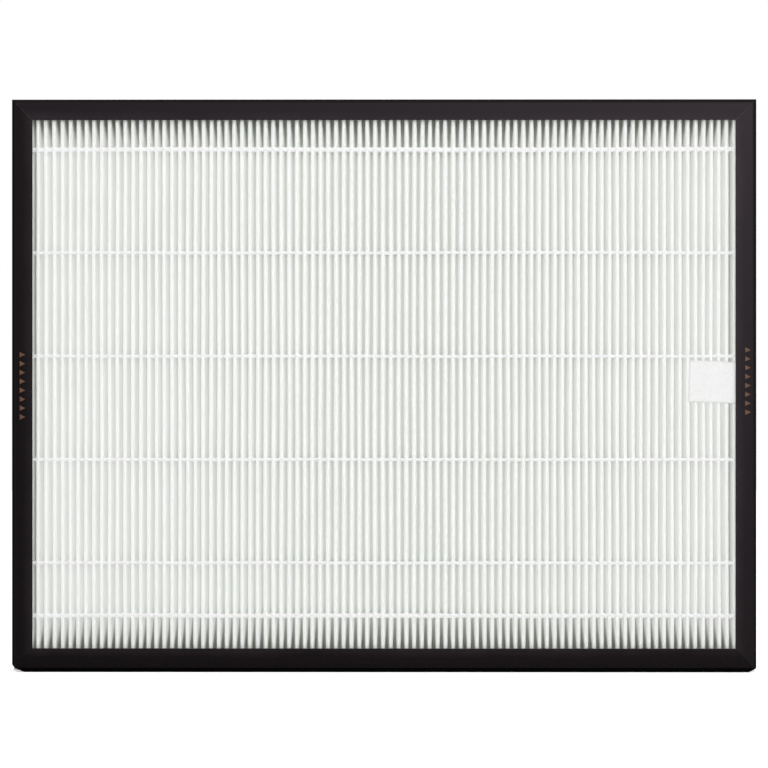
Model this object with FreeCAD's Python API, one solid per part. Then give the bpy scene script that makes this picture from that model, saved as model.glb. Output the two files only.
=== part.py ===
import FreeCAD, Part
import os
from math import cos, radians, sin

from FreeCAD import Vector

# Panel filter: a pleated sheet with glue separators, held in a frame of four folded card channels.
# It stands on its lower edge. X runs along the width, Y from the front face to the rear, Z is up.
# The origin is the middle of the lower edge. All sizes are in millimetres.

# Card frame
frame_width = 360.0
frame_height = 277.0
frame_depth = 30.0
card = 1.0
fold_radius = 1.6
side_flange = 10.0
top_flange = 10.0
bottom_flange = 11.5
mitre_gap = 0.2
upper_corner_radius = 0.9
nip_width = 4.8
nip_height = 2.3

# Pleated sheet
pleat_pitch = 3.77
sheet = 0.62
fold_bevel = 0.35
pack_clearance = 0.4
side_gap = 0.9

# Adhesive that seals the pleat pack into the frame
end_seal = 1.5
side_seal_depth = 18.0

# Glue separators, the same rows on both faces
bead_width = 1.8
top_bead_drop = 24.2
bead_spacing = 50.0
foot_bead_height = 27.3

# Pull tab of nonwoven cloth, tucked under the right flange
tab_length = 29.5
tab_width = 20.0
tab_thickness = 0.3
tab_tuck = 6.5
tab_height = 140.2
tab_slope = 1.5

half_width = frame_width / 2
half_depth = frame_depth / 2
web_face = half_width - card
sheet_foot = card + end_seal
sheet_head = frame_height - card - end_seal

# The pleat pack. Depths are counted from the crests of one face.
crest_level = half_depth - card - pack_clearance
pack_depth = 2 * crest_level
pleat_count = int((2 * web_face - 2 * side_gap) / pleat_pitch)
pack_right = web_face - side_gap
pack_left = pack_right - pleat_count * pleat_pitch
crease_depth = sheet + fold_bevel / 2
flank_depth = pack_depth - crease_depth - fold_bevel
crease_share = (crease_depth - fold_bevel) / flank_depth
half_fold = (sheet - crease_share * pleat_pitch / 2) / (1 - crease_share)
half_land = half_fold - fold_bevel


def extrude(points, direction):
    """A solid swept from the closed outline through points, along a vector."""
    outline = Part.makePolygon([*points, points[0]])
    return Part.Face(outline).extrude(direction)


def through_block(points):
    """A block with the given front outline that runs past both faces of the filter."""
    start = Vector(0, -frame_depth, 0)
    return extrude([point + start for point in points], Vector(0, 2 * frame_depth, 0))


def channel_section(start, inward, flange):
    """Section of a folded card channel. start is on the web's outer face, inward points at the window."""
    flat = half_depth - fold_radius
    inner_radius = fold_radius - card

    def at(depth, rise):
        return start + Vector(0, depth, 0) + inward * rise

    def fold(side, radius):
        """The quarter turn between the web and the flange on one side."""
        turn = radius * cos(radians(45))
        ends = at(side * flat, fold_radius - radius), at(side * (flat + radius), fold_radius)
        middle = at(side * (flat + turn), fold_radius - turn)
        return Part.Arc(ends[0], middle, ends[1]).toShape()

    def half(side):
        """Both flange faces, the flange's edge and both turns on one side."""
        outside = side * half_depth
        inside = side * (half_depth - card)
        return [
            fold(side, fold_radius),
            Part.makeLine(at(outside, fold_radius), at(outside, flange)),
            Part.makeLine(at(outside, flange), at(inside, flange)),
            Part.makeLine(at(inside, flange), at(inside, fold_radius)),
            fold(side, inner_radius),
        ]

    web = [Part.makeLine(at(-flat, 0), at(flat, 0)), Part.makeLine(at(-flat, card), at(flat, card))]
    return Part.Face(Part.Wire(Part.sortEdges(half(-1) + half(1) + web)[0]))


def frame_outline():
    """The frame's outline, as a block: upper corners slightly round, lower corners nipped off."""
    radius = upper_corner_radius
    turn = radius * (1 - sin(radians(45)))
    left, right, head = -half_width, half_width, frame_height

    def at(x, z):
        return Vector(x, -frame_depth, z)

    edges = [
        Part.makeLine(at(left + nip_width, 0), at(right - nip_width, 0)),
        Part.makeLine(at(right - nip_width, 0), at(right, nip_height)),
        Part.makeLine(at(right, nip_height), at(right, head - radius)),
        Part.Arc(at(right, head - radius), at(right - turn, head - turn), at(right - radius, head)).toShape(),
        Part.makeLine(at(right - radius, head), at(left + radius, head)),
        Part.Arc(at(left + radius, head), at(left + turn, head - turn), at(left, head - radius)).toShape(),
        Part.makeLine(at(left, head - radius), at(left, nip_height)),
        Part.makeLine(at(left, nip_height), at(left + nip_width, 0)),
    ]
    return Part.Face(Part.Wire(edges)).extrude(Vector(0, 2 * frame_depth, 0))


def saw_cut(outer, inner):
    """The thin slot that a mitre leaves between two channels."""
    along = (inner - outer).normalize()
    across = Vector(-along.z, 0, along.x) * (mitre_gap / 2)
    start = outer - along * frame_depth
    end = inner + along * frame_depth
    return through_block([start + across, end + across, end - across, start - across])


def frame_rails():
    """The four card channels, each mitred at both ends."""
    corners = {
        "foot_left": (Vector(-half_width, 0, 0), Vector(side_flange, 0, bottom_flange)),
        "foot_right": (Vector(half_width, 0, 0), Vector(-side_flange, 0, bottom_flange)),
        "head_left": (Vector(-half_width, 0, frame_height), Vector(side_flange, 0, -top_flange)),
        "head_right": (Vector(half_width, 0, frame_height), Vector(-side_flange, 0, -top_flange)),
    }
    sides = {
        "rail_bottom": ("foot_left", "foot_right", Vector(0, 0, 1), bottom_flange),
        "rail_top": ("head_left", "head_right", Vector(0, 0, -1), top_flange),
        "rail_left": ("foot_left", "head_left", Vector(1, 0, 0), side_flange),
        "rail_right": ("foot_right", "head_right", Vector(-1, 0, 0), side_flange),
    }
    outline = frame_outline()
    rails = {}
    for name, (first, last, inward, flange) in sides.items():
        (start, start_step), (end, end_step) = corners[first], corners[last]
        bar = channel_section(start, inward, flange).extrude(end - start)
        mitred = bar.common(through_block([start, end, end + end_step, start + start_step])).common(outline)
        rails[name] = mitred.cut([saw_cut(start, start + start_step), saw_cut(end, end + end_step)])
    return rails


def crest(index):
    """Place across the pack of a front fold."""
    return pack_left + (index + 0.5) * pleat_pitch


def valley(index):
    """Place across the pack of a rear fold."""
    return pack_left + index * pleat_pitch


def groove_half_width(depth):
    """Half the width of a groove at a depth below its two crests."""
    return (pleat_pitch / 2 - half_fold) * (1 - (depth - fold_bevel) / flank_depth)


def fold_outline(x, side):
    """The outer face of one fold, from left to right: a flat land with a bevel at each edge."""
    land, edge = side * crest_level, side * (crest_level - fold_bevel)
    return [
        Vector(x - half_fold, edge, sheet_foot),
        Vector(x - half_land, land, sheet_foot),
        Vector(x + half_land, land, sheet_foot),
        Vector(x + half_fold, edge, sheet_foot),
    ]


def pleated_sheet():
    """One sheet folded to and fro between the front and the rear face."""
    crease = crest_level - crease_depth
    front = [Vector(valley(0), crease, sheet_foot)]
    rear = fold_outline(valley(0), 1)[2:]
    rear.insert(0, Vector(valley(0), crest_level, sheet_foot))
    for index in range(pleat_count):
        front += fold_outline(crest(index), -1)
        front.append(Vector(valley(index + 1), crease, sheet_foot))
        rear.append(Vector(crest(index), -crease, sheet_foot))
        rear += fold_outline(valley(index + 1), 1)
    rear = rear[:-2] + [Vector(valley(pleat_count), crest_level, sheet_foot)]
    return extrude(front + rear[::-1], Vector(0, 0, sheet_head - sheet_foot))


def bead_row(grooves, side, height):
    """The wedges of set glue in the grooves of one face, at one height. side is -1 at the front."""
    foot = height - bead_width / 2
    mouth = side * (crest_level - fold_bevel)
    tip = -side * (crest_level - crease_depth)
    reach = groove_half_width(fold_bevel)
    wedges = []
    for x in grooves:
        points = [Vector(x - reach, mouth, foot), Vector(x + reach, mouth, foot), Vector(x, tip, foot)]
        wedges.append(extrude(points, Vector(0, 0, bead_width)))
    return Part.makeCompound(wedges)


def bead_heights():
    """Heights of the rows: evenly spaced from the top, and one more near the foot."""
    room = frame_height - top_bead_drop - foot_bead_height - 2 * bead_width
    spaced = [frame_height - top_bead_drop - step * bead_spacing for step in range(1 + int(room / bead_spacing))]
    return [*spaced, foot_bead_height]


def bead_rows():
    """The separator rows of both faces."""
    front_grooves = [valley(index) for index in range(1, pleat_count)]
    rear_grooves = [crest(index) for index in range(pleat_count)]
    rows = {}
    for row, height in enumerate(bead_heights(), start=1):
        rows[f"front_bead_{row}"] = bead_row(front_grooves, -1, height)
        rows[f"rear_bead_{row}"] = bead_row(rear_grooves, 1, height)
    return rows


def end_seal_bed(foot):
    """The bed of adhesive on a web, in which the cut ends of the pleats stand."""
    length = 2 * web_face
    depth = 2 * (half_depth - fold_radius)
    return Part.makeBox(length, depth, end_seal, Vector(-length / 2, -depth / 2, foot))


def side_seal(web, pack_edge):
    """The strip of adhesive between a side web and the flank of the last pleat."""
    inward = 1 if pack_edge > web else -1

    def flank(y):
        return pack_edge + inward * groove_half_width(y + crest_level)

    front, rear = -side_seal_depth / 2, side_seal_depth / 2
    section = ((web, front), (web, rear), (flank(rear), rear), (flank(front), front))
    return extrude([Vector(x, y, sheet_foot) for x, y in section], Vector(0, 0, sheet_head - sheet_foot))


def pull_tab():
    """A flat strip: one end under the right flange, the rest lying on the crests."""
    window_edge = half_width - side_flange
    rear_face = -(crest_level + (pack_clearance - tab_thickness) / 2)
    corner = Vector(window_edge + tab_tuck - tab_length, rear_face - tab_thickness, tab_height - tab_width / 2)
    strip = Part.makeBox(tab_length, tab_thickness, tab_width, corner)
    strip.rotate(Vector(window_edge, 0, tab_height), Vector(0, 1, 0), tab_slope)
    return strip


def build():
    """All sub-parts by node name."""
    parts = {"pleated_media": pleated_sheet(), "pull_tab": pull_tab()}
    parts.update(frame_rails())
    parts.update(bead_rows())
    parts["end_seal_bottom"] = end_seal_bed(card)
    parts["end_seal_top"] = end_seal_bed(sheet_head)
    parts["side_seal_left"] = side_seal(-web_face, pack_left)
    parts["side_seal_right"] = side_seal(web_face, pack_right)
    return parts


os.makedirs("parts", exist_ok=True)
for name, shape in build().items():
    shape.exportStep(f"parts/{name}.step")
    print(f"{name}: {len(shape.Solids)} solids, {shape.Volume / 1000:.2f} cm3")
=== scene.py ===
import math
import random

import bpy
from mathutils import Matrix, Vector, noise


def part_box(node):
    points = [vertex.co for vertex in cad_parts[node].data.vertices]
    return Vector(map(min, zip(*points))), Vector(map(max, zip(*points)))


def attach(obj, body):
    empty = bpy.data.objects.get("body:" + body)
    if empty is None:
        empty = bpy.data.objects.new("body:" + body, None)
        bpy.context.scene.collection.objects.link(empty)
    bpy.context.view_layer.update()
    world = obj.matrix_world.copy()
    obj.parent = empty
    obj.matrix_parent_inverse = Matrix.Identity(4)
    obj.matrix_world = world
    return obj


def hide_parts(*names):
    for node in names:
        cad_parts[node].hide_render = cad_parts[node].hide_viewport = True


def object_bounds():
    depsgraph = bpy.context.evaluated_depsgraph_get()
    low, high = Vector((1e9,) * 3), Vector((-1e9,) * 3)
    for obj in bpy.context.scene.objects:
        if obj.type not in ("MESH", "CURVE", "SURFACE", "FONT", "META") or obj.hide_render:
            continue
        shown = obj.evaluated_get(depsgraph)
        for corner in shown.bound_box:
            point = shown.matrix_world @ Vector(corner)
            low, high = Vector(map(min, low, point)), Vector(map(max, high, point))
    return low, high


print("loading the frame")
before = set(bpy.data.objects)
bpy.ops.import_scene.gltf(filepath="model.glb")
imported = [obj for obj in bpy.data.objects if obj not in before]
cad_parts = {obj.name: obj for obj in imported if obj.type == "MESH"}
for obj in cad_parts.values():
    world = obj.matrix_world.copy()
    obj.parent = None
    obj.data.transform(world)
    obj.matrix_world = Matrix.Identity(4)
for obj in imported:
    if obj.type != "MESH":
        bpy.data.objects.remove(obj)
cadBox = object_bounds()
mm = 0.001
near = 0.02 * mm  # points closer than this count as one
frameLow, frameHigh = (Vector(corner) for corner in cadBox)
packLow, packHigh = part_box("pleated_media")
frameWidth = frameHigh.x - frameLow.x
frameHeight = frameHigh.z - frameLow.z
halfDepth = frameHigh.y
flanges = {"left": 10.0 * mm, "right": 10.0 * mm, "top": 10.0 * mm, "bottom": 11.5 * mm}


# Small tools for modelling

def only(piece):
    # selects one piece and makes it the active one
    bpy.ops.object.select_all(action="DESELECT")
    piece.select_set(True)
    bpy.context.view_layer.objects.active = piece


def named(name):
    # takes the primitive that was just added
    piece = bpy.context.object
    piece.name = piece.data.name = name
    return piece


def toObject():
    bpy.ops.object.mode_set(mode="OBJECT")


def toEdit():
    bpy.ops.object.mode_set(mode="EDIT")


def startPick(piece, kind):
    # clears what is selected, and says whether vertices, edges or faces are picked
    if piece.mode == "EDIT":
        toObject()
    only(piece)
    toEdit()
    bpy.ops.mesh.select_mode(type=kind)
    bpy.ops.mesh.select_all(action="DESELECT")
    toObject()


def pickVerts(piece, test):
    # selects the vertices that pass the test, and leaves the piece in edit mode
    startPick(piece, "VERT")
    for vertex in piece.data.vertices:
        vertex.select = test(vertex.co)
    toEdit()


def pickEdges(piece, test):
    # the same for edges, by their two ends
    startPick(piece, "EDGE")
    for edge in piece.data.edges:
        edge.select = test(*(piece.data.vertices[index].co for index in edge.vertices))
    toEdit()


def pickFaces(piece, test):
    # the same for faces, by their normal
    startPick(piece, "FACE")
    for face in piece.data.polygons:
        face.select = test(face.normal)
    toEdit()


def pickAll(piece):
    startPick(piece, "VERT")
    toEdit()
    bpy.ops.mesh.select_all(action="SELECT")


def outwards(piece):
    # turns all faces outwards
    pickAll(piece)
    bpy.ops.mesh.normals_make_consistent(inside=False)
    toObject()


def applied(piece, kind, **settings):
    # adds a modifier, sets it and applies it
    only(piece)
    modifier = piece.modifiers.new(kind.title(), kind)
    for key, value in settings.items():
        setattr(modifier, key, value)
    bpy.ops.object.modifier_apply(modifier=modifier.name)


def repeated(piece, count, step):
    # copies of the piece in a line, merged where they touch
    applied(piece, "ARRAY", count=count, use_relative_offset=False, use_constant_offset=True,
            constant_offset_displace=step, use_merge_vertices=True, merge_threshold=near)


def placed(piece):
    # puts the place, turn and size of the object into its mesh
    only(piece)
    bpy.ops.object.transform_apply(location=True, rotation=True, scale=True)


def joined(pieces, name):
    bpy.ops.object.select_all(action="DESELECT")
    for piece in pieces:
        piece.select_set(True)
    bpy.context.view_layer.objects.active = pieces[0]
    bpy.ops.object.join()
    pieces[0].name = pieces[0].data.name = name
    return pieces[0]


def dressed(piece, material, nodes=()):
    # material, body, slot and the nodes that the piece stands for
    piece.data.materials.clear()
    piece.data.materials.append(material)
    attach(piece, "root")
    if nodes:
        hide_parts(*nodes)


# Small tools for materials

def newMaterial(name):
    material = bpy.data.materials.new(name)
    material.use_nodes = True
    return material, material.node_tree, material.node_tree.nodes["Principled BSDF"]


def splitOf(tree, output):
    # X, Y and Z of the object's own coordinates, or of its normals
    coords = tree.nodes.new("ShaderNodeTexCoord")
    split = tree.nodes.new("ShaderNodeSeparateXYZ")
    tree.links.new(coords.outputs[output], split.inputs["Vector"])
    return split.outputs


def noiseOn(tree, scale, detail, stretch=(1, 1, 1)):
    # a noise on object coordinates, finer along the axes with the larger stretch
    coords = tree.nodes.new("ShaderNodeTexCoord")
    mapping = tree.nodes.new("ShaderNodeMapping")
    mapping.inputs["Scale"].default_value = stretch
    texture = tree.nodes.new("ShaderNodeTexNoise")
    texture.inputs["Scale"].default_value = scale
    texture.inputs["Detail"].default_value = detail
    tree.links.new(coords.outputs["Object"], mapping.inputs["Vector"])
    tree.links.new(mapping.outputs["Vector"], texture.inputs["Vector"])
    return texture.outputs["Fac"]


def rampOf(tree, source, places, *colours):
    # one colour at each place, and blends between them
    ramp = tree.nodes.new("ShaderNodeValToRGB")
    elements = ramp.color_ramp.elements
    while len(elements) < len(places):
        elements.new(0.5)
    for element, place, colour in zip(elements, places, colours):
        element.position = place
        element.color = (*colour, 1)
    tree.links.new(source, ramp.inputs["Fac"])
    return ramp.outputs["Color"]


def bumpOf(tree, height, strength, distance):
    bump = tree.nodes.new("ShaderNodeBump")
    bump.inputs["Strength"].default_value = strength
    bump.inputs["Distance"].default_value = distance
    tree.links.new(height, bump.inputs["Height"])
    return bump.outputs["Normal"]


def mathOf(tree, operation, *values):
    # each value is a number or the output of another node
    step = tree.nodes.new("ShaderNodeMath")
    step.operation = operation
    for socket, value in zip(step.inputs, values):
        if isinstance(value, (int, float)):
            socket.default_value = value
        else:
            tree.links.new(value, socket)
    return step.outputs["Value"]


def shareOf(tree, source, start, end):
    # 0 where the source is start, 1 where it is end, and smooth between them
    share = tree.nodes.new("ShaderNodeMapRange")
    share.interpolation_type = "SMOOTHSTEP"
    share.inputs["From Min"].default_value = start
    share.inputs["From Max"].default_value = end
    tree.links.new(source, share.inputs["Value"])
    return share.outputs["Result"]


def mixOf(tree, factor, first, colour):
    # the first colour, and the plain colour where the factor is 1
    mix = tree.nodes.new("ShaderNodeMix")
    mix.data_type = "RGBA"
    tree.links.new(factor, mix.inputs["Factor"])
    tree.links.new(first, mix.inputs["A"])
    mix.inputs["B"].default_value = (*colour, 1)
    return mix.outputs["Result"]


def glossOf(shader, look):
    shader.inputs["Roughness"].default_value = look["roughness"]
    shader.inputs["Specular IOR Level"].default_value = look["shine"]


def nonwoven(tree, colour, normal, through):
    # dull cloth that lets a share of the light through
    tree.nodes.remove(tree.nodes["Principled BSDF"])
    front = tree.nodes.new("ShaderNodeBsdfDiffuse")
    back = tree.nodes.new("ShaderNodeBsdfTranslucent")
    for layer in (front, back):
        tree.links.new(colour, layer.inputs["Color"])
        tree.links.new(normal, layer.inputs["Normal"])
    mix = tree.nodes.new("ShaderNodeMixShader")
    mix.inputs["Fac"].default_value = through
    tree.links.new(front.outputs["BSDF"], mix.inputs[1])
    tree.links.new(back.outputs["BSDF"], mix.inputs[2])
    tree.links.new(mix.outputs["Shader"], tree.nodes["Material Output"].inputs["Surface"])


# Materials

filterSheet = {
    "pale": (0.985, 0.988, 0.982),
    "deep": (0.965, 0.972, 0.96),
    "inside": (0.936, 0.949, 0.931),  # painted shade at the bottom of the grooves
    "insideDepth": (17 * mm, 27.5 * mm),
    "flangeShade": (0.75, 0.765, 0.74),  # painted shade near the flanges, which keep the light out of the grooves behind them
    "flangeShadeDepth": (0.8 * mm, 7 * mm),  # the crests stay unshaded
    "flangeShadeReach": (2 * mm, 0.8),  # how far past a flange, and how much further for each mm of depth
    "flangeShadeFade": (0.9, 0.05),  # as shares of that reach
    "flangeShadeSides": (2.5, 4 * mm),  # less of the painted shade beside the side flanges
    "through": 0.15,
    "fibres": (1600, 2, (1, 1, 0.35)),
    "clouds": (60, 1),
    "tones": (0.3, 0.55),
    "fibreBump": (0.025, 0.2 * mm),
}


def filterSheetMaterial(look):
    # white nonwoven, with painted shade deep in the grooves and near the flanges
    material, tree, _ = newMaterial("filterSheet")
    fibres = noiseOn(tree, *look["fibres"])
    mixed = mathOf(tree, "MULTIPLY", mathOf(tree, "ADD", fibres, noiseOn(tree, *look["clouds"])), 0.5)
    unshaded = rampOf(tree, mixed, look["tones"], look["deep"], look["pale"])
    place = splitOf(tree, "Object")
    down = mathOf(tree, "SUBTRACT", frameHeight - flanges["top"], place["Z"])
    up = mathOf(tree, "SUBTRACT", place["Z"], flanges["bottom"])
    aside = mathOf(tree, "ABSOLUTE", place["X"])
    inwards = mathOf(tree, "SUBTRACT", frameWidth / 2 - flanges["left"], aside)
    slower, later = look["flangeShadeSides"]
    fromSide = mathOf(tree, "ADD", mathOf(tree, "MULTIPLY", inwards, slower), later)
    past = mathOf(tree, "MINIMUM", mathOf(tree, "MINIMUM", up, down), fromSide)
    facing = mathOf(tree, "SIGN", splitOf(tree, "Normal")["Y"])
    height = mathOf(tree, "MULTIPLY", place["Y"], facing)
    depth = mathOf(tree, "SUBTRACT", packHigh.y, height)  # below the mouth of the groove that a face is in
    # painted shade: the sheet gets darker and greener towards the bottom of each groove
    shaded = mixOf(tree, shareOf(tree, depth, *look["insideDepth"]), unshaded, look["inside"])
    # painted shade near the flanges: it reaches further past a flange the deeper a face lies in its groove
    least, further = look["flangeShadeReach"]
    reach = mathOf(tree, "ADD", mathOf(tree, "MULTIPLY", depth, further), least)
    nearEnd = shareOf(tree, mathOf(tree, "DIVIDE", past, reach), *look["flangeShadeFade"])
    inGroove = shareOf(tree, depth, *look["flangeShadeDepth"])
    colour = mixOf(tree, mathOf(tree, "MULTIPLY", nearEnd, inGroove), shaded, look["flangeShade"])
    nonwoven(tree, colour, bumpOf(tree, fibres, *look["fibreBump"]), look["through"])
    return material


glue = {
    "colour": (0.875, 0.877, 0.873),
    "dull": (0.86, 0.863, 0.858),
    "core": (0.97, 0.975, 0.965),  # behind the bead, where light comes through the glue
    "coreDepth": (1.2 * mm, 3 * mm),
    "lumps": (500, 2),
    "tones": (0.35, 0.6),
    "lumpBump": (0.15, 0.1 * mm),
    "roughness": 0.55,
    "shine": 0.02,
}


def glueMaterial(look):
    # set hot-melt glue: milky, a little shiny, with small lumps
    material, tree, shader = newMaterial("separatorGlue")
    lumps = noiseOn(tree, *look["lumps"])
    skin = rampOf(tree, lumps, look["tones"], look["dull"], look["colour"])
    depth = mathOf(tree, "SUBTRACT", packHigh.y, mathOf(tree, "ABSOLUTE", splitOf(tree, "Object")["Y"]))
    colour = mixOf(tree, shareOf(tree, depth, *look["coreDepth"]), skin, look["core"])
    tree.links.new(colour, shader.inputs["Base Color"])
    tree.links.new(bumpOf(tree, lumps, *look["lumpBump"]), shader.inputs["Normal"])
    glossOf(shader, look)
    return material


card = {
    "fold": (0.0002, 0.0002, 0.0002),  # along the outer folds, painted shade
    "middle": (0.0018, 0.0014, 0.0016),
    "inner": (0.0125, 0.0102, 0.0115),  # at the window, painted glow of the bright window
    "fleck": (0.006, 0.005, 0.0056),
    "edge": (0.13, 0.1, 0.115),  # cut edges at the upper mitres
    "fade": 11.5 * mm,  # from the outer edge to the window
    "foldWide": 1.2 * mm,
    "paintedGlow": (0.5, 0.95),  # the places of the middle and inner colours, as shares of that way
    "footFold": 1.6 * mm,  # the dark band of the lower fold is wider by this, painted shade along the bottom
    "webTone": 0.8,  # the outer sides of the frame, as a place between fold and window
    "webStart": 1.2 * mm,  # how far behind the flanges they start
    "webRise": 4,  # and how quickly they reach that tone
    "clouds": (35, 3),
    "cloudShare": 0.9,
    "grain": (1400, 3),
    "flecked": (0.6, 0.75),
    "grainBump": (0.25, 0.1 * mm),
    "roughness": 0.48,
    "foldRoughness": 0.86,
    "foldRough": (1.15 * mm, 2.3 * mm),  # from the sides and the top
    "shine": 0.02,
    "tint": (1, 0.82, 0.93),
}


def cardMaterial(look):
    # black laminated card, with painted shade darkest at the outer folds and painted glow paler towards the
    # window
    material, tree, shader = newMaterial("frameCard")
    place = splitOf(tree, "Object")
    sideways = mathOf(tree, "SUBTRACT", frameWidth / 2, mathOf(tree, "ABSOLUTE", place["X"]))
    down = mathOf(tree, "SUBTRACT", frameHeight, place["Z"])
    up = mathOf(tree, "SUBTRACT", place["Z"], look["footFold"])
    nearFold = mathOf(tree, "MINIMUM", sideways, down)
    behind = mathOf(tree, "SUBTRACT", halfDepth - look["webStart"], mathOf(tree, "ABSOLUTE", place["Y"]))
    rising = mathOf(tree, "MULTIPLY", behind, look["webRise"])
    onWeb = mathOf(tree, "MINIMUM", rising, look["webTone"] * look["fade"])
    fromFold = mathOf(tree, "MAXIMUM", mathOf(tree, "MINIMUM", nearFold, up), onWeb)
    rise = mathOf(tree, "DIVIDE", fromFold, look["fade"])
    clouds = mathOf(tree, "SUBTRACT", noiseOn(tree, *look["clouds"]), 0.5)
    wobble = mathOf(tree, "MULTIPLY", mathOf(tree, "MULTIPLY", clouds, look["cloudShare"]), rise)
    places = (look["foldWide"] / look["fade"], *look["paintedGlow"])
    tones = look["fold"], look["middle"], look["inner"]
    # painted shade and painted glow: near black at the folds, paler towards the window
    base = rampOf(tree, mathOf(tree, "ADD", rise, wobble), places, *tones)
    grain = noiseOn(tree, *look["grain"])
    flecks = rampOf(tree, grain, look["flecked"], (0, 0, 0), (1, 1, 1))
    tree.links.new(mixOf(tree, flecks, base, look["fleck"]), shader.inputs["Base Color"])
    glossOf(shader, look)
    smooth = shareOf(tree, mathOf(tree, "MAXIMUM", nearFold, onWeb), *look["foldRough"])
    more = mathOf(tree, "SUBTRACT", 1, smooth)
    rougher = mathOf(tree, "MULTIPLY", more, look["foldRoughness"] - look["roughness"])
    tree.links.new(mathOf(tree, "ADD", rougher, look["roughness"]), shader.inputs["Roughness"])
    shader.inputs["Specular Tint"].default_value = (*look["tint"], 1)
    tree.links.new(bumpOf(tree, grain, *look["grainBump"]), shader.inputs["Normal"])
    return material


pressedFold = {"colour": card["fold"], "roughness": 0.9, "shine": 0.005}


def foldMaterial(look):
    # the outer folds, pressed and dull, in the near black of the painted shade at the folds
    material, tree, shader = newMaterial("cardFold")
    shader.inputs["Base Color"].default_value = (*look["colour"], 1)
    glossOf(shader, look)
    return material


rawEdge = {
    "dark": card["inner"],
    "colour": card["edge"],
    "patches": (2500, 3),
    "tones": (0.35, 0.65),
    "roughness": 0.8,
    "shine": 0.02,
}
ink = {
    "dark": (0.1, 0.05, 0.032),
    "colour": (0.15, 0.075, 0.045),
    "patches": (900, 3),
    "tones": (0.35, 0.6),
    "roughness": 0.5,
    "shine": 0.02,
}


def patchyMaterial(name, look):
    # two tones in small patches, for the card's raw edge and for worn ink
    material, tree, shader = newMaterial(name)
    patches = noiseOn(tree, *look["patches"])
    colour = rampOf(tree, patches, look["tones"], look["dark"], look["colour"])
    tree.links.new(colour, shader.inputs["Base Color"])
    glossOf(shader, look)
    return material


tabCloth = {
    "pale": (0.942, 0.944, 0.94),
    "dimple": (0.87, 0.875, 0.87),
    "dimples": 1100,
    "fibres": (700, 3),
    "pressed": 0.6,
    "tones": (0.3, 0.6),
    "bump": (0.5, 0.2 * mm),
    "through": 0.25,
}


def tabMaterial(look):
    # nonwoven with small pressed dimples
    material, tree, _ = newMaterial("tabCloth")
    coords = tree.nodes.new("ShaderNodeTexCoord")
    cells = tree.nodes.new("ShaderNodeTexVoronoi")
    cells.inputs["Scale"].default_value = look["dimples"]
    tree.links.new(coords.outputs["Object"], cells.inputs["Vector"])
    mixed = mathOf(tree, "ADD", cells.outputs["Distance"], noiseOn(tree, *look["fibres"]))
    pressed = mathOf(tree, "MULTIPLY", mixed, look["pressed"])
    colour = rampOf(tree, pressed, look["tones"], look["dimple"], look["pale"])
    nonwoven(tree, colour, bumpOf(tree, pressed, *look["bump"]), look["through"])
    return material


sealant = {
    "dark": (0.5, 0.48, 0.42),
    "colour": (0.62, 0.6, 0.52),
    "lumps": (160, 3),
    "tones": (0.35, 0.65),
    "lumpBump": (0.4, 0.5 * mm),
    "roughness": 0.5,
    "shine": 0.04,
}


def sealantMaterial(look):
    # the adhesive in which the pack is bedded
    material, tree, shader = newMaterial("sealAdhesive")
    lumps = noiseOn(tree, *look["lumps"])
    colour = rampOf(tree, lumps, look["tones"], look["dark"], look["colour"])
    tree.links.new(colour, shader.inputs["Base Color"])
    tree.links.new(bumpOf(tree, lumps, *look["lumpBump"]), shader.inputs["Normal"])
    glossOf(shader, look)
    return material


print("making the materials")
sheetLook = filterSheetMaterial(filterSheet)
glueLook = glueMaterial(glue)
cardLook = cardMaterial(card)
edgeLook = patchyMaterial("cardEdge", rawEdge)
foldLook = foldMaterial(pressedFold)
inkLook = patchyMaterial("markInk", ink)
tabLook = tabMaterial(tabCloth)
sealLook = sealantMaterial(sealant)

# The pleat pack

pack = {
    "pleats": 94,
    "sheet": 0.45 * mm,  # thickness
    "fold": ((0.36, 0.06), (0.52, 0.22), (0.58, 0.6), (0.74, 1.9), (0.82, 3.6)),  # half width and depth in mm
    "tall": 20,  # steps up the sheet
    "wander": (0.4 * mm, 13 * mm, 100 * mm),  # how far a pleat strays sideways, over what width and height
    "endWander": (0.32 * mm, 8 * mm, 30 * mm),  # and more near the cut ends
    "lift": (0.1 * mm, 6 * mm, 50 * mm),  # how uneven the crests are in depth
    "spread": 0.9 * mm,  # the pleats drift this far to the right by the right end
    "gather": {"pleat": 2.5, "over": 1.6, "by": 0.75 * mm},  # and some on the left sit closer to the edge
}
packWidth = packHigh.x - packLow.x
packHeight = packHigh.z - packLow.z
pitch = packWidth / pack["pleats"]
crestLevel = packHigh.y


def waved(setting, x, z, seed):
    # a smooth shift that changes over a width and a height
    far, wide, tall = setting
    return far * noise.noise(Vector((x / wide, z / tall, seed)))


def strayed(x, z):
    # sideways place of a point of the pack, which the glue follows too
    room = max(0, min(1, (x - packLow.x) / (2 * pitch), (packHigh.x - x) / (2 * pitch)))
    endShare = max(0, 1 - min(z - packLow.z, packHigh.z - z) / pack["endWander"][2])
    gather = pack["gather"]
    middle = packLow.x + (gather["pleat"] + 0.5) * pitch
    shift = pack["spread"] * (x - packLow.x) / packWidth
    shift -= gather["by"] * math.exp(-((x - middle) / (gather["over"] * pitch)) ** 2)
    shift += waved(pack["wander"], x, z, 3.1) + endShare * waved(pack["endWander"], x, z, 8.7)
    return x + room * shift


def pleatProfile():
    # the sheet's middle line over one pleat, from one rear fold to the next
    level = crestLevel - pack["sheet"] / 2
    fold = [(0, 0), *((across * mm, depth * mm) for across, depth in pack["fold"])]
    half = [(across, level - depth) for across, depth in fold]
    half.append((pitch / 4, 0))
    half += [(pitch / 2 - across, depth - level) for across, depth in reversed(fold)]
    return half + [(pitch - x, y) for x, y in half[-2::-1]]


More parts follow.
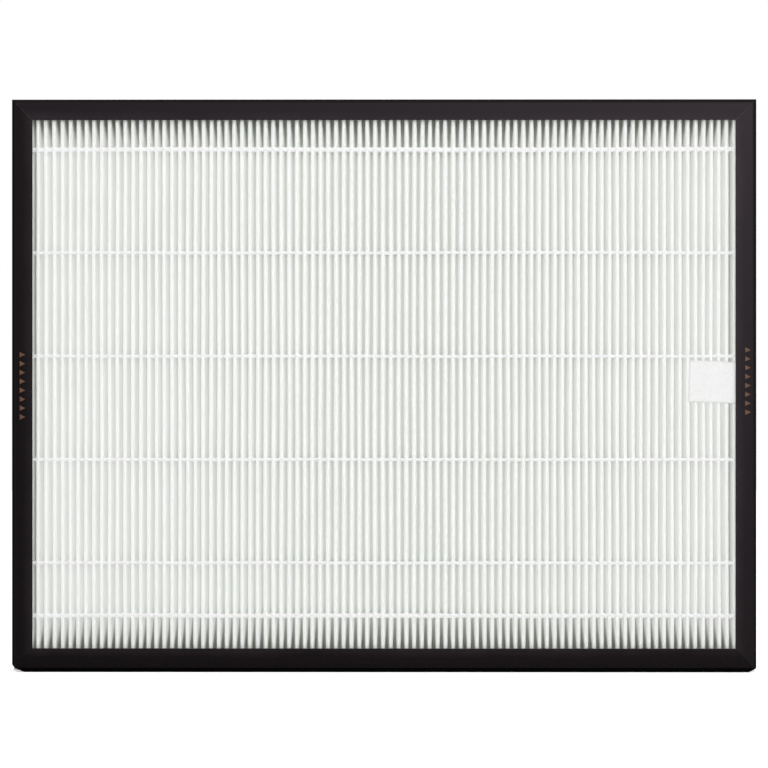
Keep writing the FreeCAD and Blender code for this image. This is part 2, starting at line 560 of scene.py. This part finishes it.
def pleatedSheet():
    profile = pleatProfile()
    middle = Vector((packLow.x + packHeight / 2, profile[0][1], packLow.z + packHeight / 2))
    bpy.ops.mesh.primitive_plane_add(size=packHeight, location=middle, rotation=(math.pi / 2, 0, 0))
    sheet = named("pleatedSheet")
    placed(sheet)
    pickVerts(sheet, lambda co: co.x > middle.x)
    bpy.ops.mesh.delete(type="VERT")
    bpy.ops.mesh.select_all(action="SELECT")  # one upright edge is left, at the first rear fold
    bpy.ops.mesh.subdivide(number_cuts=pack["tall"] - 1)
    for before, after in zip(profile, profile[1:]):
        step = (after[0] - before[0], after[1] - before[1], 0)
        bpy.ops.mesh.extrude_region_move(TRANSFORM_OT_translate={"value": step})
    toObject()
    repeated(sheet, pack["pleats"], (pitch, 0, 0))
    for vertex in sheet.data.vertices:
        x, y, z = vertex.co
        vertex.co = (strayed(x, z), y + y / crestLevel * waved(pack["lift"], x, z, 21.0), z)
    applied(sheet, "SOLIDIFY", thickness=pack["sheet"], offset=0)
    bpy.ops.object.shade_smooth()
    dressed(sheet, sheetLook, ["pleated_media"])


# The glue rows

bead = {
    "rows": 6,
    "thick": 0.8 * mm,
    "sides": 8,
    "rings": (  # mm from mid groove, height, depth below the crests
        (0, 1.5, 0.4),
        (0.5, 1.58, 0.35),
        (0.85, 2.0, 0.27),
        (1.08, 2.7, 0.18),  # small webs climb the flanks
        (1.3, 1.55, -0.02),
        (pitch / 2 / mm, 1.5, -0.1),  # a thin film over the crest
    ),
    "wedge": (1.1 * mm, 0.55 * mm, 0.8 * mm),  # reach at the front, reach at the back, height
    "wedgeEnd": 1.5 * mm,  # where it stops before the rear crests
    "endRowShare": 1.35,  # the first and the last row carry more glue
    "lumps": (0.14, 4 * mm),  # share of the height, and how long they are
    "drift": (0.25 * mm, 50 * mm),  # up and down along a row
}


def glueCell():
    # the glue of one front groove: a drawn bead from crest to crest, and a wedge behind it
    thick = bead["thick"]
    bpy.ops.mesh.primitive_cylinder_add(vertices=bead["sides"], radius=thick / 2, depth=pitch,
                                        end_fill_type="NOTHING", rotation=(0, math.pi / 2, 0))
    ribbon = named("glueRibbon")
    placed(ribbon)
    cuts = [ring[0] for ring in bead["rings"][:-1]]
    for cut in sorted({*cuts, *(-place for place in cuts)}):
        pickAll(ribbon)
        bpy.ops.mesh.bisect(plane_co=(cut * mm, 0, 0), plane_no=(1, 0, 0))
    for place, wide, depth in bead["rings"]:
        pickVerts(ribbon, lambda co: abs(abs(co.x) - place * mm) < near)
        bpy.ops.transform.resize(value=(1, 1, wide * mm / thick))
        bpy.ops.transform.translate(value=(0, depth * mm + thick / 2 - crestLevel, 0))
    toObject()
    front, back, tall = bead["wedge"]
    start = bead["rings"][0][2] * mm + thick / 2 - crestLevel
    end = crestLevel - bead["wedgeEnd"]
    bpy.ops.mesh.primitive_cube_add(size=1, location=(0, (start + end) / 2, 0),
                                    scale=(2 * front, end - start, tall))
    wedge = named("glueWedge")
    placed(wedge)
    pickVerts(wedge, lambda co: co.y > 0)
    bpy.ops.transform.resize(value=(back / front, 1, 1))
    toObject()
    return joined([ribbon, wedge], "glueCell")


def glueRow(cell, face, row):
    # copies of the cell in a line, one for each groove
    node = f"{face}_bead_{row}"
    low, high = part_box(node)
    height = (low.z + high.z) / 2
    front = face == "front"
    side = -1 if front else 1
    only(cell)
    bpy.ops.object.duplicate()
    line = named(f"{face}Glue{row}")
    pickAll(line)
    if not front:
        bpy.ops.transform.rotate(value=math.pi, orient_axis="Z", center_override=(0, 0, 0))
    if row in (1, bead["rows"]):
        bpy.ops.transform.resize(value=(1, 1, bead["endRowShare"]))
    bpy.ops.transform.translate(value=(packLow.x + (pitch if front else pitch / 2), 0, height))
    toObject()
    repeated(line, pack["pleats"] - front, (pitch, 0, 0))
    (lumpShare, lumpLong), (driftFar, driftLong) = bead["lumps"], bead["drift"]
    for vertex in line.data.vertices:
        x, y, z = vertex.co
        drift = driftFar * noise.noise(Vector((x / driftLong, row * 7.7, side)))
        upper = math.copysign(3, z - height)
        lump = 1 + lumpShare * noise.noise(Vector((x / lumpLong, row * 3.3, side * 2 + upper)))
        vertex.co = (strayed(x, height), y, height + (z - height) * lump + drift)
    outwards(line)
    bpy.ops.object.shade_smooth()
    dressed(line, glueLook, [node])


# Loose threads of the filter sheet that cling to its crests

threads = {
    "count": 60,
    "long": 2.2 * mm,
    "radius": 0.035 * mm,
    "cuts": (-0.3, -0.1, 0.1, 0.3),  # where a thread bends, as shares of its length
    "curl": 0.9 * mm,
    "lean": 0.7,
    "fromCrest": 0.6 * mm,  # they cling to a crest's shoulders
    "heights": (0.04, 0.96),  # shares of the pack's height
    "proud": (-0.05 * mm, 0.12 * mm),
    "seed": 11,
}


def looseThreads():
    dice = random.Random(threads["seed"])
    bpy.ops.mesh.primitive_cylinder_add(vertices=3, radius=threads["radius"], depth=threads["long"])
    model = named("thread")
    for cut in threads["cuts"]:
        pickAll(model)
        bpy.ops.mesh.bisect(plane_co=(0, 0, cut * threads["long"]), plane_no=(0, 0, 1))
    toObject()
    made = []
    for index in range(threads["count"]):
        only(model)
        bpy.ops.object.duplicate()
        thread = named(f"thread{index}")
        curl = dice.uniform(-1, 1) * threads["curl"]
        for vertex in thread.data.vertices:  # bent along its length
            share = vertex.co.z / threads["long"]
            vertex.co.x += curl * (share ** 2 + 0.5 * share ** 3)
        thread.rotation_euler = (0, dice.gauss(0, threads["lean"]), 0)
        x = packLow.x + (dice.randrange(2, pack["pleats"] - 2) + 0.5) * pitch
        x += dice.choice((-threads["fromCrest"], threads["fromCrest"]))
        z = packLow.z + dice.uniform(*threads["heights"]) * packHeight
        thread.location = (strayed(x, z), -crestLevel - dice.uniform(*threads["proud"]), z)
        placed(thread)
        made.append(thread)
    only(model)
    bpy.ops.object.delete()
    dressed(joined(made, "looseThreads"), sheetLook)


# The card frame

rail = {
    "card": 1.0 * mm,
    "foldRadius": {"left": 1.6 * mm, "right": 1.6 * mm, "top": 1.6 * mm, "bottom": 2.2 * mm},
    "foldSteps": 5,
    "edgeRound": 0.12 * mm,
    "edgeSteps": 2,
    "edgeFrom": math.radians(50),  # edges sharper than this are rounded
    "smoothTo": math.radians(30),
    "skin": 0.02 * mm,  # the printed marks stand this much proud of the card
    "seam": 0.005 * mm,  # half the slot at a mitre
    "lean": {"left": 0.06, "right": 0.06, "top": 0, "bottom": 0.06},  # how far a flange springs up
    "slanted": 0.2,  # a mitre's normal has this much of X and Z at least, and about as much of both
    "dull": {"left": 0.6, "right": 0.6, "top": 0.3, "bottom": 0.99},  # how far the fold's look reaches
    "dullFrom": 0.05,  # both as a normal's share along Y
}
# The turn, the middle of the web and the outward direction of each side
sides = {
    "left": (math.pi / 2, (-frameWidth / 2, 0, frameHeight / 2), (-1, 0, 0)),
    "right": (-math.pi / 2, (frameWidth / 2, 0, frameHeight / 2), (1, 0, 0)),
    "top": (math.pi, (0, 0, frameHeight), (0, 0, 1)),
    "bottom": (0, (0, 0, 0), (0, 0, -1)),
}
# The lower corners are nipped off, as points in mm from the corner, inwards and up
nips = {-1: ((0, 3.8), (1.45, 2.03), (6.05, 0)), 1: ((0, 2.05), (3.9, 0))}


def bisected(piece, point, normal):
    # cuts off what lies on the normal's side and closes the cut
    pickAll(piece)
    bpy.ops.mesh.bisect(plane_co=point, plane_no=normal, clear_outer=True, use_fill=True)
    toObject()


def channel(side, length):
    # a folded channel along X, with its web at the bottom and the window above
    flange = flanges[side]
    depth = 2 * (halfDepth - rail["skin"])
    webDepth = depth - 2 * rail["lean"][side] * flange
    bpy.ops.mesh.primitive_cube_add(size=1, location=(0, 0, flange / 2), scale=(length, depth, flange))
    bar = named(f"{side}Rail")
    placed(bar)
    pickVerts(bar, lambda co: co.z < flange / 2)
    bpy.ops.transform.resize(value=(1, webDepth / depth, 1))
    pickFaces(bar, lambda normal: normal.z > 0.5 or abs(normal.x) > 0.5)
    bpy.ops.mesh.delete(type="FACE")
    pickEdges(bar, lambda one, other: one.z + other.z < flange and abs(one.x - other.x) > flange)
    bpy.ops.mesh.bevel(offset=rail["foldRadius"][side], segments=rail["foldSteps"], profile=0.5,
                       affect="EDGES")
    outwards(bar)
    applied(bar, "SOLIDIFY", thickness=rail["card"], offset=-1, use_even_offset=True)
    return bar


def mitred(bar, side):
    # cuts both ends on the line from the outer to the inner corner
    outside = Vector(sides[side][2])
    if side in ("left", "right"):
        ends = (side, "bottom"), (side, "top")
    else:
        ends = ("left", side), ("right", side)
    for aside, level in ends:
        across = -1 if aside == "left" else 1
        up = -1 if level == "bottom" else 1
        corner = Vector((across * frameWidth / 2, 0, frameHeight if level == "top" else 0))
        seam = Vector((-across * flanges[aside], 0, -up * flanges[level]))
        away = Vector((seam.z, 0, -seam.x)).normalized()
        if away.dot(outside) > 0:
            away = -away
        bisected(bar, corner - away * rail["seam"], away)


def trimmed(bar):
    # nips off the lower corners
    for side, outline in nips.items():
        for (across, up), (nextAcross, nextUp) in zip(outline, outline[1:]):
            away = Vector((side * (up - nextUp), 0, across - nextAcross)).normalized()
            bisected(bar, (side * (frameWidth / 2 - across * mm), 0, up * mm), away)


def markedFaces(bar, side):
    # the upper mitres show the card's raw edge, the lower ones are dark, and the folds are dull
    for face in bar.data.polygons:
        sideways, upwards = abs(face.normal.x), abs(face.normal.z)
        fromSide = min(frameWidth / 2 - abs(face.center.x), frameHeight - face.center.z, face.center.z)
        onFold = fromSide < rail["foldRadius"][side]
        if abs(sideways - upwards) < rail["slanted"] < min(sideways, upwards):
            face.material_index = 1 if face.center.z > frameHeight / 2 else 2
        elif onFold and rail["dullFrom"] < abs(face.normal.y) < rail["dull"][side]:
            face.material_index = 2


def frameRail(side):
    # a channel that is turned to its side of the frame, mitred and trimmed
    turn, middle, _ = sides[side]
    bar = channel(side, frameHeight if side in ("left", "right") else frameWidth)
    bar.rotation_euler = (0, turn, 0)
    bar.location = middle
    placed(bar)
    mitred(bar, side)
    trimmed(bar)
    applied(bar, "BEVEL", width=rail["edgeRound"], segments=rail["edgeSteps"], limit_method="ANGLE",
            angle_limit=rail["edgeFrom"])
    bpy.ops.object.shade_smooth_by_angle(angle=rail["smoothTo"])
    applied(bar, "WEIGHTED_NORMAL", keep_sharp=True)
    dressed(bar, cardLook, [f"rail_{side}"])
    bar.data.materials.append(edgeLook)
    bar.data.materials.append(foldLook)
    markedFaces(bar, side)


# The marks on the side flanges: plain triangles in a row

marks = {
    "count": 8,
    "step": 4.3 * mm,
    "radius": 1.9 * mm,
    "shape": (0.8, 0.95, 1),
    "left": (-175.2 * mm, 138.5 * mm),  # the middle of the row
    "right": (175.4 * mm, 140.8 * mm),
}


def sideMarks(side):
    x, middle = marks[side]
    lowest = middle - (marks["count"] - 1) / 2 * marks["step"]
    bpy.ops.mesh.primitive_circle_add(vertices=3, radius=marks["radius"], fill_type="NGON",
                                      location=(x, rail["skin"] - halfDepth, lowest),
                                      rotation=(math.pi / 2, math.pi / 2, 0))
    row = named(f"{side}Marks")
    row.scale = marks["shape"]
    placed(row)
    pickAll(row)
    bpy.ops.mesh.extrude_region_move(TRANSFORM_OT_translate={"value": (0, -rail["skin"], 0)})
    toObject()
    repeated(row, marks["count"], (0, 0, marks["step"]))
    outwards(row)
    dressed(row, inkLook)


# The pull tab

tab = {
    "length": 29.1 * mm,
    "width": 20.0 * mm,
    "tuck": 6.5 * mm,  # how much of it is under the flange
    "height": 140.0 * mm,
    "turn": math.radians(2.0),
    "thick": 0.22 * mm,
    "dip": 0.054 * mm,  # how far it sinks between the crests
    "steps": (30, 20),
    "waver": (0.12 * mm, 2 * mm, 0.1 * mm, 3 * mm),  # its edges, sideways and upwards, and over what length
}


def pullTab():
    across, tall = tab["steps"]
    edge = frameWidth / 2 - flanges["right"]
    low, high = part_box("pull_tab")
    level = (low.y + high.y) / 2
    bpy.ops.mesh.primitive_grid_add(x_subdivisions=across, y_subdivisions=tall, size=1,
                                    location=(tab["tuck"] - tab["length"] / 2, 0, 0),
                                    rotation=(math.pi / 2, 0, 0))
    cloth = named("pullTab")
    cloth.scale = (tab["length"], tab["width"], 1)
    placed(cloth)
    sideFar, sideLong, upFar, upLong = tab["waver"]
    cosine, sine = math.cos(tab["turn"]), math.sin(tab["turn"])
    for vertex in cloth.data.vertices:  # from the flange's edge to its place on the crests
        x, _, z = vertex.co
        x += sideFar * noise.noise(Vector((z / sideLong, 1.5, 0)))
        z += upFar * noise.noise(Vector((x / upLong, 4.5, 0)))
        x, z = edge + x * cosine + z * sine, tab["height"] - x * sine + z * cosine
        between = (x - packLow.x) / pitch % 1
        dip = tab["dip"] * (0.5 + 0.5 * math.cos(2 * math.pi * between))
        vertex.co = (x, level + dip, z)
    applied(cloth, "SOLIDIFY", thickness=tab["thick"], offset=0)
    bpy.ops.object.shade_smooth()
    dressed(cloth, tabLook, ["pull_tab"])


print("making the pleated sheet")
pleatedSheet()
print("making the glue rows")
glueModel = glueCell()
for faceName in ("front", "rear"):
    for rowNumber in range(1, bead["rows"] + 1):
        glueRow(glueModel, faceName, rowNumber)
only(glueModel)
bpy.ops.object.delete()
looseThreads()
print("making the frame")
for sideName in flanges:
    frameRail(sideName)
for sideName in ("left", "right"):
    sideMarks(sideName)
print("making the tab")
pullTab()
for nodeName in ("end_seal_top", "end_seal_bottom", "side_seal_left", "side_seal_right"):
    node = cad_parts[nodeName]
    node.data.materials.clear()
    node.data.materials.append(sealLook)

# Floor, light and camera

studio = {
    "worldLight": 0.86,
    "keyPower": 13.5,
    "keySize": 1.6,
    "keyPlace": (0.7, -2.2, 1.4),
    "sheenPower": 563,  # a lamp that only shows in the card's faint gloss
    "sheenSize": 0.35,
    "sheenPlace": (0.529, -1.365, 1.124),
    "floorSize": 8,
    "floorColour": (0.93, 0.93, 0.93),
    "floorGloss": {"roughness": 0.9, "shine": 0.0},
    "floorLift": 0.45,  # added for the camera only, so that the floor is white beyond the shadow
    "cameraAway": 2.35,
    "cameraSide": 21 * mm,
    "cameraAim": 0.07 * mm,
    "cameraHeight": 139.4 * mm,
    "cameraReach": 30,
    "viewWidth": 371.1 * mm,  # seen across the frame at the filter's face
}


def whiteFor(tree):
    # 1 for what the camera sees, straight or by reflection, and 0 for light on the object
    path = tree.nodes.new("ShaderNodeLightPath")
    seen = mathOf(tree, "MAXIMUM", path.outputs["Is Camera Ray"], path.outputs["Is Glossy Ray"])
    return mathOf(tree, "MAXIMUM", seen, path.outputs["Is Transmission Ray"])


def setWorld():
    world = bpy.data.worlds.new("studioWorld")
    bpy.context.scene.world = world
    world.use_nodes = True
    tree = world.node_tree
    extra = mathOf(tree, "MULTIPLY", whiteFor(tree), 1 - studio["worldLight"])
    strength = mathOf(tree, "ADD", extra, studio["worldLight"])
    tree.nodes["Background"].inputs["Color"].default_value = (1, 1, 1, 1)
    tree.links.new(strength, tree.nodes["Background"].inputs["Strength"])


def setFloor():
    bpy.ops.mesh.primitive_plane_add(size=studio["floorSize"], location=(0, 0, 0))
    floor = named("floor")
    material, tree, shader = newMaterial("paleFloor")
    shader.inputs["Base Color"].default_value = (*studio["floorColour"], 1)
    glossOf(shader, studio["floorGloss"])
    glow = tree.nodes.new("ShaderNodeEmission")
    tree.links.new(mathOf(tree, "MULTIPLY", whiteFor(tree), studio["floorLift"]), glow.inputs["Strength"])
    both = tree.nodes.new("ShaderNodeAddShader")
    tree.links.new(shader.outputs["BSDF"], both.inputs[0])
    tree.links.new(glow.outputs["Emission"], both.inputs[1])
    tree.links.new(both.outputs["Shader"], tree.nodes["Material Output"].inputs["Surface"])
    floor.data.materials.append(material)


def setLights():
    for name in ("key", "sheen"):
        light = bpy.data.lights.new(name, "AREA")
        light.shape = "DISK"
        light.size = studio[f"{name}Size"]
        light.energy = studio[f"{name}Power"]
        lamp = bpy.data.objects.new(name, light)
        lamp.location = studio[f"{name}Place"]
        aim = Vector((0, 0, frameHeight / 2)) - lamp.location
        lamp.rotation_euler = aim.to_track_quat("-Z", "Y").to_euler()
        lamp.visible_diffuse = name == "key"
        bpy.context.scene.collection.objects.link(lamp)


def setCamera():
    camera = bpy.data.cameras.new("camera")
    camera.lens = camera.sensor_width * studio["cameraAway"] / studio["viewWidth"]
    camera.clip_end = studio["cameraReach"]
    holder = bpy.data.objects.new("camera", camera)
    holder.location = (studio["cameraSide"], -halfDepth - studio["cameraAway"], studio["cameraHeight"])
    turn = math.atan2(studio["cameraSide"] - studio["cameraAim"], studio["cameraAway"])
    holder.rotation_euler = (math.pi / 2, 0, turn)
    bpy.context.scene.collection.objects.link(holder)
    bpy.context.scene.camera = holder


# Light goes to and fro between the pleats far more often than elsewhere, so its last part is estimated

bounces = {"diffuse": 10, "all": 12, "estimateAfter": 6, "estimate": 0.95, "estimateReach": 0.2 * mm}


def setBounces():
    scene = bpy.context.scene
    scene.cycles.diffuse_bounces = bounces["diffuse"]
    scene.cycles.max_bounces = bounces["all"]
    scene.cycles.use_fast_gi = True
    scene.cycles.fast_gi_method = "REPLACE"
    scene.cycles.ao_bounces_render = bounces["estimateAfter"]
    scene.world.light_settings.ao_factor = bounces["estimate"]
    scene.world.light_settings.distance = bounces["estimateReach"]


print("setting the stage")
setWorld()
setFloor()
setLights()
setCamera()
bpy.context.scene.view_settings.view_transform = "Standard"
setBounces()
